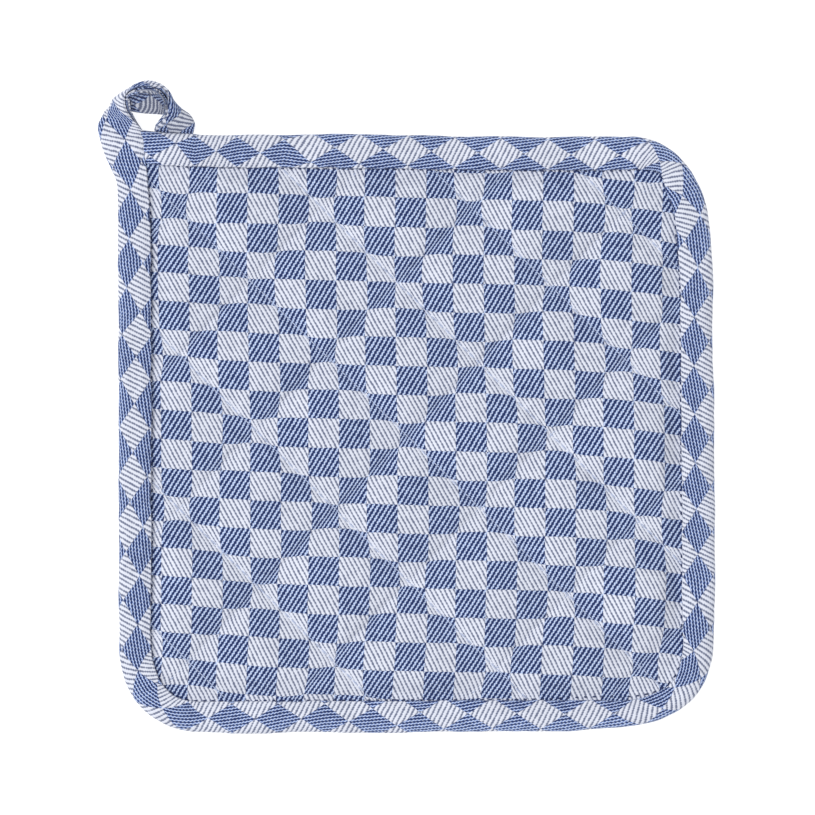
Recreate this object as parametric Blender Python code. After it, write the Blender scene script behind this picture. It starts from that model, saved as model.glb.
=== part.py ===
"""Quilted cotton pot holder, lying face up.

A filled square pad is quilted in a diamond grid. A bias-cut strip is folded round its edge, and
the strip's free end is folded double and turned over to the back as a hanging loop. The sizes
below are in millimetres from the pad's centre: +X right, +Y towards the loop, +Z up from the table.
"""

import math
from collections import namedtuple

import bmesh
import bpy
from mathutils import Vector

MM = 0.001

# Outline of the bound edge: each corner's sharp point, and how far its rounding reaches back
# along the side before it and on along the side after it, going clockwise.
Corner = namedtuple("Corner", "name x y reach_before reach_after")
CORNERS = (
    Corner("top_right", 99.3, 98.9, 27.0, 36.0),
    Corner("bottom_right", 100.5, -99.9, 29.5, 35.0),
    Corner("bottom_left", -99.4, -100.6, 26.5, 29.5),
    Corner("top_left", -100.0, 100.9, 17.0, 17.0),
)
CORNER_STEPS = 9

# The pad: its rim is a thin seam allowance inside the binding, and the rest is filled.
RIM_INSET = 3.1
RIM_FLAT_TO = 11.9
RIM_BOTTOM, RIM_TOP = 1.9, 3.9
EDGE_RUN = 7.5
RING_INSETS = (RIM_INSET, RIM_FLAT_TO, RIM_FLAT_TO + 1.6, RIM_FLAT_TO + 4.2)
CUT_TOLERANCE = 1e-4

# Quilting: two families of straight seams, each seam given by where it crosses X = 0.
FALLING_SLOPE = -0.99
FALLING_SEAMS = (-152.0, -103.8, -52.3, -4.0, 44.2, 93.8, 142.0)
RISING_SLOPE = 1.03
RISING_SEAMS = (-155.4, -106.5, -47.2, 2.0, 56.3, 107.9, 157.5)
ROW_SHARES = (0.0, 0.14, 0.38, 0.62, 0.86)
PUFF_FULLNESS = 2.3

SEAM_TOP, PUFF_TOP = 4.7, 7.2
SEAM_BOTTOM, PUFF_BOTTOM_DROP = 1.1, 2.4

# The binding strip, folded round the rim.
BINDING_HEIGHT = 5.8
BINDING_LEG = 1.5
BINDING_FOLD, FOLD_ROUND = 2.2, 0.4
LIP_ROUND, LIP_DROP = 0.7, 0.15
CREST_SHARE = 0.6
SHOULDER_IN, SHOULDER_DROP = 2.9, 0.25
NOSE_IN, NOSE_DROP = 0.9, 1.2
FACE_WIDTH_TOP, FACE_WIDTH_RIGHT, FACE_WIDTH_BOTTOM, FACE_WIDTH_LEFT = 11.6, 10.6, 10.6, 11.3
STATION_PITCH = 6.0

# The strip starts beside the left stretch, and that stretch leans out before it leaves the pad.
START_X, START_Y = -90.3, 101.5
START_LIP_X = -89.5
SETTLED_X, SETTLED_Y = -74.0, 100.6
Leaning = namedtuple("Leaning", "y edge_x lip_x")
LEANING_END = (
    Leaning(58.0, -99.9, -88.5),
    Leaning(70.0, -99.9, -88.9),
    Leaning(78.0, -99.9, -89.3),
    Leaning(84.0, -100.5, -89.7),
    Leaning(89.0, -102.1, -90.1),
    Leaning(93.5, -104.0, -90.5),
    Leaning(98.1, -105.8, -90.9),
)

# The corner rides up over the loop's tail, which is sewn flat against its back.
TAIL_BOX = ((-88.5, -75.0), (91.0, 101.5))
TAIL_LIFT = 2.2
LIFT_RUN = 26.0

# The hanging loop: the strip's near edge faces the hole and its far edge turns down and back.
Row = namedtuple("Row", "near_x near_y near_z far_x far_y far_z thickness riding")
LOOP_ROWS = (
    Row(-91.0, 98.5, 2.9, -105.8, 98.5, 2.9, 5.4, 1.0),
    Row(-91.3, 100.4, 3.1, -106.4, 101.2, 2.8, 3.7, 0.9),
    Row(-92.0, 102.3, 3.7, -106.3, 104.3, 2.6, 2.9, 0.6),
    Row(-93.7, 104.8, 5.3, -105.4, 107.1, 2.2, 2.7, 0.3),
    Row(-96.2, 108.4, 8.3, -103.6, 109.3, 1.4, 2.7, 0.0),
    Row(-97.1, 113.2, 9.8, -101.7, 111.6, 1.0, 2.7, 0.0),
    Row(-94.2, 116.1, 10.5, -98.2, 109.4, 0.9, 2.7, 0.0),
    Row(-89.4, 117.4, 10.8, -92.3, 107.9, 0.9, 2.7, 0.0),
    Row(-84.9, 116.0, 10.6, -86.2, 107.5, 0.9, 2.7, 0.0),
    Row(-82.4, 112.8, 9.9, -80.6, 107.2, 0.9, 2.7, 0.0),
    Row(-83.2, 108.8, 8.7, -76.0, 106.7, 1.1, 2.7, 0.0),
    Row(-84.9, 105.3, 6.3, -74.1, 104.0, 1.6, 2.7, 0.0),
    Row(-86.4, 102.5, 4.0, -74.3, 101.8, 1.6, 2.5, 0.0),
    Row(-86.9, 99.9, 1.7, -74.9, 99.4, 1.1, 2.0, 0.0),
    Row(-87.4, 96.8, 0.9, -75.4, 96.5, 0.9, 1.7, 0.0),
    Row(-87.8, 91.5, 0.9, -76.0, 91.1, 0.9, 1.7, 0.0),
)
LOOP_STEPS = 3
TANGENT_REACH = 0.25
# Points round the folded strip: share of its width from the near edge, share of its half thickness.
LOOP_SECTION = ((0.0, 0.0), (0.05, 0.75), (0.22, 1.0), (0.78, 1.0), (0.95, 0.75),
                (1.0, 0.0), (0.95, -0.75), (0.78, -1.0), (0.22, -1.0), (0.05, -0.75))

CLOTH_COLOUR = (0.33, 0.40, 0.56, 1.0)
CLOTH_ROUGHNESS = 0.92


def clear_scene():
    for obj in list(bpy.data.objects):
        bpy.data.objects.remove(obj)


def cotton(name):
    material = bpy.data.materials.new(name)
    material.use_nodes = True
    shader = material.node_tree.nodes["Principled BSDF"]
    shader.inputs["Base Color"].default_value = CLOTH_COLOUR
    shader.inputs["Roughness"].default_value = CLOTH_ROUGHNESS
    shader.inputs["Metallic"].default_value = 0.0
    return material


def mesh_object(name, bm, material, parent):
    """Turn a closed bmesh into a named object with outward faces."""
    bmesh.ops.recalc_face_normals(bm, faces=bm.faces[:])
    mesh = bpy.data.meshes.new(name)
    bm.to_mesh(mesh)
    bm.free()
    mesh.transform(scale_to_metres())
    mesh.materials.append(material)
    mesh.shade_smooth()
    obj = bpy.data.objects.new(name, mesh)
    obj.parent = parent
    bpy.context.scene.collection.objects.link(obj)
    return obj


def scale_to_metres():
    return ((MM, 0, 0, 0), (0, MM, 0, 0), (0, 0, MM, 0), (0, 0, 0, 1))


def smooth_step(share):
    share = min(max(share, 0.0), 1.0)
    return share * share * (3.0 - 2.0 * share)


def tail_lift(x, y):
    """How far the pad and its binding ride up over the loop's tail."""
    (left, right), (low, high) = TAIL_BOX
    aside = max(left - x, x - right, 0.0)
    along = max(low - y, y - high, 0.0)
    return TAIL_LIFT * (1.0 - smooth_step(aside / LIFT_RUN)) * (1.0 - smooth_step(along / LIFT_RUN))


# ---- outline ------------------------------------------------------------------------------------

def corner_arc(before, corner, after):
    """Stations round one corner: (point, inward normal), an elliptical quarter on skewed sides."""
    way_in = Vector((corner.x - before.x, corner.y - before.y)).normalized()
    way_out = Vector((after.x - corner.x, after.y - corner.y)).normalized()
    start = Vector((corner.x, corner.y)) - way_in * corner.reach_before
    stations = []
    for step in range(CORNER_STEPS + 1):
        turn = math.pi / 2 * step / CORNER_STEPS
        point = (start + way_in * (corner.reach_before * math.sin(turn))
                 + way_out * (corner.reach_after * (1.0 - math.cos(turn))))
        along = (way_in * (corner.reach_before * math.cos(turn))
                 + way_out * (corner.reach_after * math.sin(turn))).normalized()
        stations.append((point, Vector((along.y, -along.x))))
    return stations


def outline_stations():
    """The closed bound edge, clockwise from the top right corner's start."""
    stations = []
    for index, corner in enumerate(CORNERS):
        before = CORNERS[index - 1]
        after = CORNERS[(index + 1) % len(CORNERS)]
        stations += corner_arc(before, corner, after)
    return stations


def ring_points(inset):
    return [point + inward * inset for point, inward in outline_stations()]


def distance_inside(x, y, edge):
    """Shortest distance from a point to the closed edge."""
    here = Vector((x, y))
    best = float("inf")
    for first, second in zip(edge, edge[1:] + edge[:1]):
        side = second - first
        share = min(max((here - first).dot(side) / side.length_squared, 0.0), 1.0)
        best = min(best, (here - first - side * share).length)
    return best


# ---- pad ----------------------------------------------------------------------------------------

def seam_share(height, seams):
    """Where a crossing height lies between its two seams, 0 and 1 being the seams."""
    for low, high in zip(seams, seams[1:]):
        if height <= high:
            return min(max((height - low) / (high - low), 0.0), 1.0)
    return 1.0


def pillow(share):
    return 1.0 - abs(2.0 * share - 1.0) ** PUFF_FULLNESS


def puff(x, y):
    """0 on a quilting seam, 1 at the middle of a puff."""
    falling = pillow(seam_share(y - FALLING_SLOPE * x, FALLING_SEAMS))
    rising = pillow(seam_share(y - RISING_SLOPE * x, RISING_SEAMS))
    return falling * rising


def pad_top(x, y, inside):
    fill = smooth_step((inside - RIM_FLAT_TO) / EDGE_RUN)
    level = RIM_TOP + fill * (SEAM_TOP - RIM_TOP + (PUFF_TOP - SEAM_TOP) * puff(x, y))
    return level + tail_lift(x, y)


def pad_bottom(x, y, inside):
    fill = smooth_step((inside - RIM_FLAT_TO) / EDGE_RUN)
    level = RIM_BOTTOM - fill * (RIM_BOTTOM - SEAM_BOTTOM + PUFF_BOTTOM_DROP * puff(x, y))
    return max(level, 0.0) + tail_lift(x, y)


def ringed_sheet():
    """A flat sheet in the pad's outline, with rings near its rim."""
    bm = bmesh.new()
    rings = []
    for inset in RING_INSETS:
        rings.append([bm.verts.new((p.x, p.y, 0.0)) for p in ring_points(inset)])
    for outer, inner in zip(rings, rings[1:]):
        for index in range(len(outer)):
            after = (index + 1) % len(outer)
            bm.faces.new((outer[index], outer[after], inner[after], inner[index]))
    bm.faces.new(rings[-1])
    return bm


def cut_rows(bm, slope, seams):
    """Cut the sheet along the seams of one family and along rows between them."""
    across = Vector((-slope, 1.0, 0.0)).normalized()
    for low, high in zip(seams, seams[1:]):
        for share in ROW_SHARES:
            crossing = Vector((0.0, low + (high - low) * share, 0.0))
            bmesh.ops.bisect_plane(bm, geom=bm.verts[:] + bm.edges[:] + bm.faces[:],
                                   dist=CUT_TOLERANCE, plane_co=crossing, plane_no=across)


def make_pad(parent):
    bm = ringed_sheet()
    cut_rows(bm, FALLING_SLOPE, FALLING_SEAMS)
    cut_rows(bm, RISING_SLOPE, RISING_SEAMS)
    edge = ring_points(0.0)
    bottom = bm.verts[:]
    grown = bmesh.ops.extrude_face_region(bm, geom=bm.faces[:], use_keep_orig=True)
    top = [item for item in grown["geom"] if isinstance(item, bmesh.types.BMVert)]
    for heights, verts in ((pad_bottom, bottom), (pad_top, top)):
        for vert in verts:
            inside = distance_inside(vert.co.x, vert.co.y, edge)
            vert.co.z = heights(vert.co.x, vert.co.y, inside)
    return mesh_object("pad", bm, cotton("pad_cloth"), parent)


# ---- swept strips -------------------------------------------------------------------------------

def sweep(sections):
    """A closed solid through equal-length sections, with a flat cap at each end."""
    bm = bmesh.new()
    rings = [[bm.verts.new(point) for point in section] for section in sections]
    for first, second in zip(rings, rings[1:]):
        for index in range(len(first)):
            after = (index + 1) % len(first)
            bm.faces.new((first[index], first[after], second[after], second[index]))
    bm.faces.new(rings[0])
    bm.faces.new(rings[-1])
    return bm


def straight_stations(first, second, inward):
    """Stations between two points of a side, without the end points."""
    steps = max(2, round((second - first).length / STATION_PITCH))
    return [(first.lerp(second, step / steps), inward) for step in range(1, steps)]


def binding_stations():
    """(edge point, inward direction, face width) along the strip, clockwise from its start."""
    top_right, bottom_right, bottom_left, top_left = CORNERS
    arcs = (corner_arc(top_left, top_right, bottom_right),
            corner_arc(top_right, bottom_right, bottom_left),
            corner_arc(bottom_right, bottom_left, top_left))
    widths = (FACE_WIDTH_TOP, FACE_WIDTH_RIGHT, FACE_WIDTH_BOTTOM, FACE_WIDTH_LEFT)
    down = arcs[0][0][1]
    start = Vector((START_X, START_Y))
    settled = Vector((SETTLED_X, SETTLED_Y))
    slanted = Vector((START_LIP_X - START_X, -widths[0])).normalized()
    stations = [(start, slanted, widths[0])]
    side = straight_stations(start, settled, down)
    stations += [(*station, widths[0]) for station in side] + [(settled, down, widths[0])]
    here = settled
    for index, arc in enumerate(arcs):
        side = straight_stations(here, arc[0][0], arc[0][1])
        stations += [(*station, widths[index]) for station in side]
        for step, (point, inward) in enumerate(arc):
            share = smooth_step(step / CORNER_STEPS)
            width = widths[index] + (widths[index + 1] - widths[index]) * share
            stations.append((point, inward, width))
        here = arc[-1][0]
    first = LEANING_END[0]
    side = straight_stations(here, Vector((first.edge_x, first.y)), arcs[-1][-1][1])
    stations += [(*station, widths[-1]) for station in side]
    for row in LEANING_END:
        stations.append((Vector((row.edge_x, row.y)), Vector((1.0, 0.0)), row.lip_x - row.edge_x))
    return stations


def binding_section(edge, inward, width):
    """The folded strip's section: across the top face, round the fold, back under, then inside."""
    high = BINDING_HEIGHT
    middle = high / 2
    profile = (
        (width, high - BINDING_LEG),
        (width, high - LIP_ROUND),
        (width - LIP_ROUND, high - LIP_DROP),
        (width * CREST_SHARE, high),
        (SHOULDER_IN, high - SHOULDER_DROP),
        (NOSE_IN, high - NOSE_DROP),
        (0.0, middle),
        (NOSE_IN, NOSE_DROP),
        (SHOULDER_IN, 0.0),
        (width - LIP_ROUND, 0.0),
        (width, LIP_ROUND),
        (width, BINDING_LEG),
        (BINDING_FOLD + FOLD_ROUND, BINDING_LEG),
        (BINDING_FOLD, middle),
        (BINDING_FOLD + FOLD_ROUND, high - BINDING_LEG),
    )
    points = []
    for across, height in profile:
        place = edge + inward * across
        points.append((place.x, place.y, height + tail_lift(place.x, place.y)))
    return points


def make_binding(parent):
    bm = sweep([binding_section(*station) for station in binding_stations()])
    return mesh_object("binding", bm, cotton("binding_cloth"), parent)


def between(rows, place):
    """Catmull-Rom reading of every column of a table at a fractional row number."""
    index = min(int(place), len(rows) - 2)
    t = place - index
    ends = [rows[max(index - 1, 0)], rows[index], rows[index + 1],
            rows[min(index + 2, len(rows) - 1)]]
    values = []
    for before, first, second, after in zip(*ends):
        values.append(first + 0.5 * t * (second - before
                      + t * (2 * before - 5 * first + 4 * second - after
                             + t * (3 * (first - second) + after - before))))
    return type(rows[0])(*values)


def loop_edges(place):
    """The strip's near and far edge points and its thickness at a fractional row number."""
    row = between(LOOP_ROWS, place)
    near = Vector((row.near_x, row.near_y, row.near_z))
    far = Vector((row.far_x, row.far_y, row.far_z))
    near.z += row.riding * tail_lift(near.x, near.y)
    far.z += row.riding * tail_lift(far.x, far.y)
    return near, far, row.thickness


def loop_section(place):
    near, far, thickness = loop_edges(place)
    ahead = loop_edges(min(place + TANGENT_REACH, len(LOOP_ROWS) - 1))
    behind = loop_edges(max(place - TANGENT_REACH, 0.0))
    along = (ahead[0] + ahead[1] - behind[0] - behind[1]).normalized()
    across = far - near
    outward = across.cross(along).normalized()
    return [near + across * share + outward * (half * thickness / 2) for share, half in LOOP_SECTION]


def make_hanging_loop(parent):
    steps = (len(LOOP_ROWS) - 1) * LOOP_STEPS
    bm = sweep([loop_section(step / LOOP_STEPS) for step in range(steps + 1)])
    return mesh_object("hanging_loop", bm, cotton("loop_cloth"), parent)


def stand_on_origin(holder, pieces):
    """Move the whole so that the origin lies at the middle of its box, on the table."""
    points = [vertex.co for piece in pieces for vertex in piece.data.vertices]
    lows = [min(point[axis] for point in points) for axis in range(3)]
    highs = [max(point[axis] for point in points) for axis in range(3)]
    holder.location = (-(lows[0] + highs[0]) / 2, -(lows[1] + highs[1]) / 2, -lows[2])


def main():
    clear_scene()
    holder = bpy.data.objects.new("pot_holder", None)
    bpy.context.scene.collection.objects.link(holder)
    pieces = [make_pad(holder), make_binding(holder), make_hanging_loop(holder)]
    stand_on_origin(holder, pieces)


main()
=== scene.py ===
"""Looks of a quilted cotton pot holder, lying face up on a bright white table.

The pad, the binding round it and the hanging loop are sewn from one checked cloth. Each is
modelled as cloth on its solid's own shape, with its flat cloth coordinates kept in a UV map, so
that one weave material draws the same yarns on all of them. Sizes are in millimetres from the
pad's centre, +X right, +Y towards the loop, +Z up from the table, until a piece is placed.
"""

import math
from collections import namedtuple

import bpy
import numpy as np
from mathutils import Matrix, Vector


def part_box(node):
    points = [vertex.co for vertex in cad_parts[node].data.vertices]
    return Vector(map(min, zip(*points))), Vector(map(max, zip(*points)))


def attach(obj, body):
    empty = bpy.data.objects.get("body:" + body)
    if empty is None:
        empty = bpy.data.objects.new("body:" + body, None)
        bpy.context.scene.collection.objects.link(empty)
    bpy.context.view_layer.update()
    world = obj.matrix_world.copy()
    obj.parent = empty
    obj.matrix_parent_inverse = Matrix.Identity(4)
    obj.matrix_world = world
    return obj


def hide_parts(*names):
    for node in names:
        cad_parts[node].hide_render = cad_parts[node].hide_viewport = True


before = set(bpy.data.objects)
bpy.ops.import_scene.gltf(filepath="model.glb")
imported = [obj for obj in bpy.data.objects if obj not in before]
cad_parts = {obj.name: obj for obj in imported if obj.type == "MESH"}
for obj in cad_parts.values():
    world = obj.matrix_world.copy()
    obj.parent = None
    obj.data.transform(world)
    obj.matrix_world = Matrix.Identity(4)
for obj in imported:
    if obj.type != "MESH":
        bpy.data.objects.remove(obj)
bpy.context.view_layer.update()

MM = 0.001

# ---- sizes repeated from the part ----------------------------

# Outline of the bound edge: each corner's sharp point, and how far its rounding reaches back
# along the side before it and on along the side after it, going clockwise.
Corner = namedtuple("Corner", "name x y reach_before reach_after")
CORNERS = (
    Corner("top_right", 99.3, 98.9, 27.0, 36.0),
    Corner("bottom_right", 100.5, -99.9, 29.5, 35.0),
    Corner("bottom_left", -99.4, -100.6, 26.5, 29.5),
    Corner("top_left", -100.0, 100.9, 17.0, 17.0),
)
# The pad: its rim is a thin seam allowance inside the binding, and the rest is filled.
RIM_INSET, RIM_FLAT_TO, EDGE_RUN = 3.1, 11.9, 7.5
RIM_BOTTOM, RIM_TOP = 1.9, 3.9
# Quilting: two families of straight seams, each by its slope and where its seams cross X = 0.
FALLING = (-0.99, (-152.0, -103.8, -52.3, -4.0, 44.2, 93.8, 142.0))
RISING = (1.03, (-155.4, -106.5, -47.2, 2.0, 56.3, 107.9, 157.5))
PUFF_FULLNESS = 2.3
SEAM_TOP, PUFF_TOP = 4.7, 7.2
SEAM_BOTTOM, PUFF_BOTTOM_DROP = 1.1, 2.4

BINDING_HEIGHT = 5.8
# The strip starts beside its own left stretch and then settles onto the top side.
START_X, START_Y, START_LIP_X = -90.3, 101.5, -89.5
SETTLED_X, SETTLED_Y = -74.0, 100.6
# The corner rides up over the loop's tail, which is sewn flat against its back.
TAIL_BOX = ((-88.5, -75.0), (91.0, 101.5))
TAIL_LIFT, LIFT_RUN = 2.2, 26.0
# The loop: near x, y, z, far x, y, z, thickness, share of the lift over the tail.
LOOP_ROWS = (
    (-91.0, 98.5, 2.9, -105.8, 98.5, 2.9, 5.4, 1.0),
    (-91.3, 100.4, 3.1, -106.4, 101.2, 2.8, 3.7, 0.9),
    (-92.0, 102.3, 3.7, -106.3, 104.3, 2.6, 2.9, 0.6),
    (-93.7, 104.8, 5.3, -105.4, 107.1, 2.2, 2.7, 0.3),
    (-96.2, 108.4, 8.3, -103.6, 109.3, 1.4, 2.7, 0.0),
    (-97.1, 113.2, 9.8, -101.7, 111.6, 1.0, 2.7, 0.0),
    (-94.2, 116.1, 10.5, -98.2, 109.4, 0.9, 2.7, 0.0),
    (-89.4, 117.4, 10.8, -92.3, 107.9, 0.9, 2.7, 0.0),
    (-84.9, 116.0, 10.6, -86.2, 107.5, 0.9, 2.7, 0.0),
    (-82.4, 112.8, 9.9, -80.6, 107.2, 0.9, 2.7, 0.0),
    (-83.2, 108.8, 8.7, -76.0, 106.7, 1.1, 2.7, 0.0),
    (-84.9, 105.3, 6.3, -74.1, 104.0, 1.6, 2.7, 0.0),
    (-86.4, 102.5, 4.0, -74.3, 101.8, 1.6, 2.5, 0.0),
    (-86.9, 99.9, 1.7, -74.9, 99.4, 1.1, 2.0, 0.0),
    (-87.4, 96.8, 0.9, -75.4, 96.5, 0.9, 1.7, 0.0),
    (-87.8, 91.5, 0.9, -76.0, 91.1, 0.9, 1.7, 0.0),
)
# The pad's lowest corner, from the pad's centre.
PAD_LOW_CORNER = (-96.85, -97.41, 0.0)

# ---- how the soft strip lies, here and there a little off its solids ----

# Width of the binding's face along the top, the right, the bottom and the left.
FACE_WIDTHS = (11.6, 11.1, 10.6, 11.1)
# Where the face is drawn up wider or narrower, at a corner mostly: centre, reach, how much wider.
WIDTH_CHANGES = ((86.5, 93.5, 6.0, -2.0), (84.0, 95.0, 16.0, -0.9), (98.8, 66.0, 10.0, 1.1),
                 (90.2, -91.3, 15.0, -1.9), (-91.6, -92.0, 11.0, -0.7), (-99.4, -66.0, 16.0, -0.5))
# Where the folded edge lies in from the solid's outline: centre, reach, how far.
EDGE_DENTS = (
    (-84.0, 101.0, 7.0, 0.5), (-70.0, 100.0, 11.0, 0.9), (-48.0, 100.0, 14.0, 0.55),
    (15.0, 100.0, 18.0, 0.45), (45.0, 100.0, 9.0, 0.5), (99.0, 68.0, 12.0, 0.8),
    (99.0, 33.0, 12.0, 0.5), (99.0, -74.0, 14.0, 0.8), (93.0, -91.0, 10.0, -0.4),
    (71.0, -99.0, 12.0, 1.5), (35.0, -99.0, 22.0, 0.1), (-15.0, -99.0, 16.0, -0.35),
    (-57.5, -99.0, 11.0, -1.1), (-62.0, -99.0, 22.0, 0.6), (-94.0, -90.0, 9.0, -0.55),
)
# The left stretch leans out before it leaves the pad: y, the folded edge's x, the lip's x.
LEANING_END = (
    (58.0, -99.9, -88.5), (70.0, -99.9, -88.9), (78.0, -99.9, -89.3), (84.0, -100.2, -89.7),
    (89.0, -102.5, -90.1), (93.5, -104.5, -90.5), (98.1, -105.8, -90.9),
)
# The strip's first end is tucked under its left stretch: how far before its start, how thick.
TUCKED_START = ((4.0, 2.4), (2.6, 2.8), (1.3, 4.2), (0.4, 5.3))
TUCK_SLANT, START_THICKNESS = 0.05, 5.6
# Beyond this Y the loop lies free of the pad. It is a little fuller there than its solid and hangs
# towards the hole.
FREE_FROM, FREE_RUN = 101.0, 5.0
LOOP_FULL, LOOP_HANG = 0.5, 0.65
# The loop's lips open: by row how far, and how high each leg's two sides lie there, from the top.
LOOP_OPEN = ((3, 0.0), (5, 0.15), (6, 0.6), (6.8, 1.0), (8.5, 1.0), (10, 0.55), (12, 0.2),
             (13, 0.0))
LOOP_LIPS = (1.0, -1.5, -2.5, -4.3)
# How far right the loop's inner edge lies from the solid's, by row, for as wide an eye as the
# real one has.
LOOP_EYE = ((1, 0.0), (2, -0.35), (3, -0.8), (3.6, -1.0), (4.3, -0.8), (5.5, 0.0), (9.3, 0.0),
            (10.2, 1.0), (10.7, 1.4), (11.3, 0.6), (12, -0.5), (12.5, -0.8), (13, -0.4), (14, 0.0))
# How far in the loop's folded edge lies, by row, where the loop turns upright.
LOOP_FOLD_IN = ((1.6, 0.0), (2.2, 0.6), (2.7, 0.9), (3.2, 0.7), (3.8, 0.8), (4.5, 0.8),
                (5.3, 0.7), (6, 0.2), (6.6, 0.0))

# ---- the cloth's check ---------------------------------------

# One block of the flat cloth, and where the pad's blocks lie.
BLOCK_WIDE, BLOCK_HIGH = 9.88, 9.27
LATTICE_CORNER = (3.08, 3.94)
LATTICE_ACROSS = (9.875, -0.386)
LATTICE_DOWN = (0.030, -9.261)
# Blocks lie off that even lattice by this much: up by column, up by row, and right by row.
COLUMN_LIFT = ((-10, 0.4), (-8, -0.15), (-7, -0.65), (-5.5, -0.95), (-3, -0.6), (0, -0.27),
               (2.2, 0.14), (4.7, 0.5), (6, 0.17), (7.3, -0.48), (8.6, -1.85), (10, -2.0))
ROW_LIFT = ((-10, 0.9), (-8.2, 0.7), (-6.8, 0.3), (-4, 0.1), (-2.5, 0.0), (0, 0.0), (1.5, -0.27),
            (3, -0.23), (5, -0.1), (10, -0.1))
ROW_SHIFT = ((-10, 0.3), (-8.2, 0.17), (-6.8, -0.08), (-5.4, -0.27), (-4, 0.0), (0, 0.7),
             (5, 0.7), (5.6, 0.58), (7, 0.3), (8.3, -0.26), (10, -1.25))
# The offsets depend on the block they lead to, so they are found in this many rounds.
LATTICE_ROUNDS = 3
# Places where sewing has pulled the check aside: centre, reach, and pull right and up.
PULLS = ((82.0, 80.0, 20.0, 1.0, -0.5), (-77.0, -75.0, 24.0, 0.6, 0.85),
         (-77.0, 72.0, 16.0, 0.0, -1.4), (80.0, -73.0, 13.0, -0.3, 1.0),
         (75.0, -53.0, 14.0, 0.55, -0.2))
# The seams draw the cloth together: this much from each side, most of it this near the seam.
SEAM_GATHER, GATHER_HALF = 0.75, 1.7

# The bias strip: centres of its diamonds and, near its two ends, a crossing between four of them,
# each with its count along the strip and its row across.
DIAMONDS = (
    (-80.7, 96.8, 0, 0), (-74.0, 94.3, 1, 0), (-60.0, 94.1, 3, 0), (-44.6, 93.1, 5, 0),
    (-35.8, 95.6, 6, 1), (-3.4, 94.5, 10, 1), (28.3, 93.5, 14, 1), (59.6, 93.0, 18, 1),
    (76.3, 92.5, 20, 1), (85.4, 86.4, 22, 1), (93.5, 81.7, 23, 2), (94.8, 64.2, 25, 2),
    (93.3, 47.2, 27, 2), (93.0, 14.1, 31, 2), (93.6, -18.4, 35, 2), (94.5, -48.6, 39, 2),
    (93.5, -65.0, 41, 2), (89.6, -89.2, 44, 3), (74.6, -93.1, 46, 3), (57.8, -94.1, 48, 3),
    (25.0, -93.8, 52, 3), (9.4, -94.1, 54, 3), (-30.5, -95.8, 59, 4), (-61.3, -95.7, 63, 4),
    (-77.4, -94.8, 65, 4), (-90.6, -87.0, 67, 4), (-93.4, -71.8, 69, 4), (-92.1, -40.2, 73, 4),
    (-95.0, -14.4, 76, 5), (-93.9, 17.8, 80, 5), (-93.5, 32.5, 82, 5), (-97.2, 40.2, 83, 6),
    (-95.8, 72.4, 87, 6), (-96.5, 89.8, 89, 6), (-96.8, 97.7, 90, 6), (-98.8, 105.0, 91, 6),
)
HALF_DIAMOND_LONG, HALF_DIAMOND_WIDE = 8.2, 5.1
# The same counts on the hanging loop, at some of its rows.
LOOP_DIAMONDS = ((4.7, 92, 5.7), (5.7, 92.4, 5.95), (7, 93.2, 6.2), (8.1, 94.1, 6.4),
                 (9.5, 95.2, 6.5), (11, 96, 6.8), (12.5, 96.7, 6.9), (15, 97.8, 7))
# The diamonds' centres are sought on the binding and this many rows of the loop.
DIAMOND_LOOP_ROWS = 5
# On the bias the strip shears as it is drawn round the loop: by row, how far along for each step
# across its face, and for each step beyond the fold.
FACE_SHEAR = ((-2.5, 0.0), (-1.2, 0.15), (0, 0.28), (2, 0.25), (4, 0.15), (6, -0.4), (8, -0.4),
              (9.5, 0.2), (11, 0.45), (12.5, 0.4), (15, 0.0))
UNDER_SHEAR = ((4, 0.0), (5.5, 0.8), (6.5, 1.05), (8, 1.0), (9.2, 0.6), (11, 0.0))
# Drawn round the bend, the cloth has run on along the fold, by row, this near to the fold.
FOLD_RUN, FOLD_RUN_HALF = ((5, 0.0), (6, 3.0), (7, 3.5), (8.2, 3.0), (9.5, 0.0)), 3.5
# Under the bend the check has crept towards the fold by this many rows of diamonds.
UNDER_CREEP, CREEP_RUN = ((5, 0.0), (6, 0.7), (8.5, 0.7), (10, 0.0)), 3.0
# Past the lower lip, from this far inside the slot, the check moves on a block, so that the slot
# shows blue: painted shade in the slot, where the strip's other hem lies.
SLOT_PAINTED_SHADE_FROM = 2.0
# Crowding of the loop's cloth, by row, on its face and under it: its dark yarns close up, and its
# colour is darkened there with painted shade.
FACE_CROWDING_AND_PAINTED_SHADE = ((9, 0.0), (10.5, 0.3), (13, 0.45), (14, 0.2))
UNDER_CROWDING_AND_PAINTED_SHADE, UNDER_RUN = ((5, 0.0), (6, 0.7), (7, 0.8), (9, 1.0), (10.5, 0.4)), 2.0
# Drawn taut on the bias, the navy yarns part a little: all over the strip, over its fold, and most
# over its fold on the right and below, from this far out.
TAUT_STRIP, TAUT_FOLD, TAUT_FOLD_MOST, TAUT_HALF = 0.15, 0.3, 1.0, 3.5
TAUT_FROM, TAUT_RUN = 60.0, 30.0

# ---- small relief of the sewn cloth --------------------------

STITCH_PITCH = 2.9
# The quilting thread's narrow bite, and the puckers that run out from it.
SEAM_BITE, SEAM_BITE_HALF = 0.4, 0.85
PUCKER_HIGH, PUCKER_PEAK, PUCKER_REACH = 0.16, 1.2, 3.2
PUCKER_PITCH, PUCKER_WANDER = STITCH_PITCH * 1.45, 2.4
# How near a falling seam the cloth is pulled in, how much on the average, and how unevenly.
PULLED_HALF, PULLED_MEAN, PULLED_VARIES = 1.1, 0.65, 0.5
# The ditch beside the binding, deepest along the left side.
DITCH_DEEP, LEFT_DITCH_DEEP, DITCH_FROM_LIP, DITCH_HALF = 0.35, 0.8, 0.3, 1.7
LEFT_DITCH_FROM, LEFT_DITCH_RUN = -70.0, 14.0
# The pad's back shows this share of the face's bites and puckers.
BACK_RELIEF = 0.25
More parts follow.
